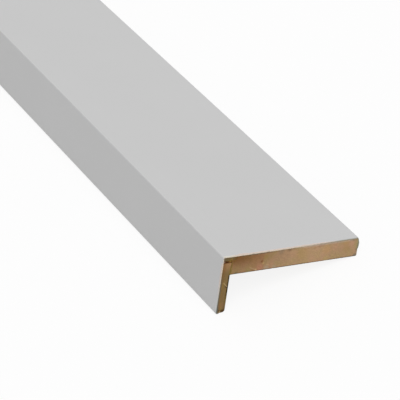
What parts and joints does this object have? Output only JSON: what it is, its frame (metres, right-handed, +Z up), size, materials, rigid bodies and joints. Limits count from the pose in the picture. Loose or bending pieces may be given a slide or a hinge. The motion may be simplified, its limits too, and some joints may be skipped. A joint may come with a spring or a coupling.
{
  "type": "architrave moulding",
  "caption": "L-shaped telescopic door architrave: wide flat face board with a thin leg along one edge, wrapped in grey foil, its fibreboard bare on the back and the sawn ends.",
  "frame": {"origin": "under the middle of the moulding, on the floor that it lies on", "axes": "+Y along the length, from the end that the picture shows to the other; +Z up, with the moulding lying on its leg's tip and its free back edge; +X across, from the leg to the free edge"},
  "size_m": [0.08, 2.15, 0.0299],
  "materials": {
    "board_fibre": "bare medium-density fibreboard, sawn on the ends",
    "leg_fibre": "bare fibreboard, denser and darker than the board's, sawn on the ends",
    "grey_foil": "smooth matt light grey decor foil"
  },
  "bodies": {
    "root": {"face_board": "board_fibre", "leg_strip": "leg_fibre", "wrap_foil": "grey_foil"}
  },
  "joints": []
}
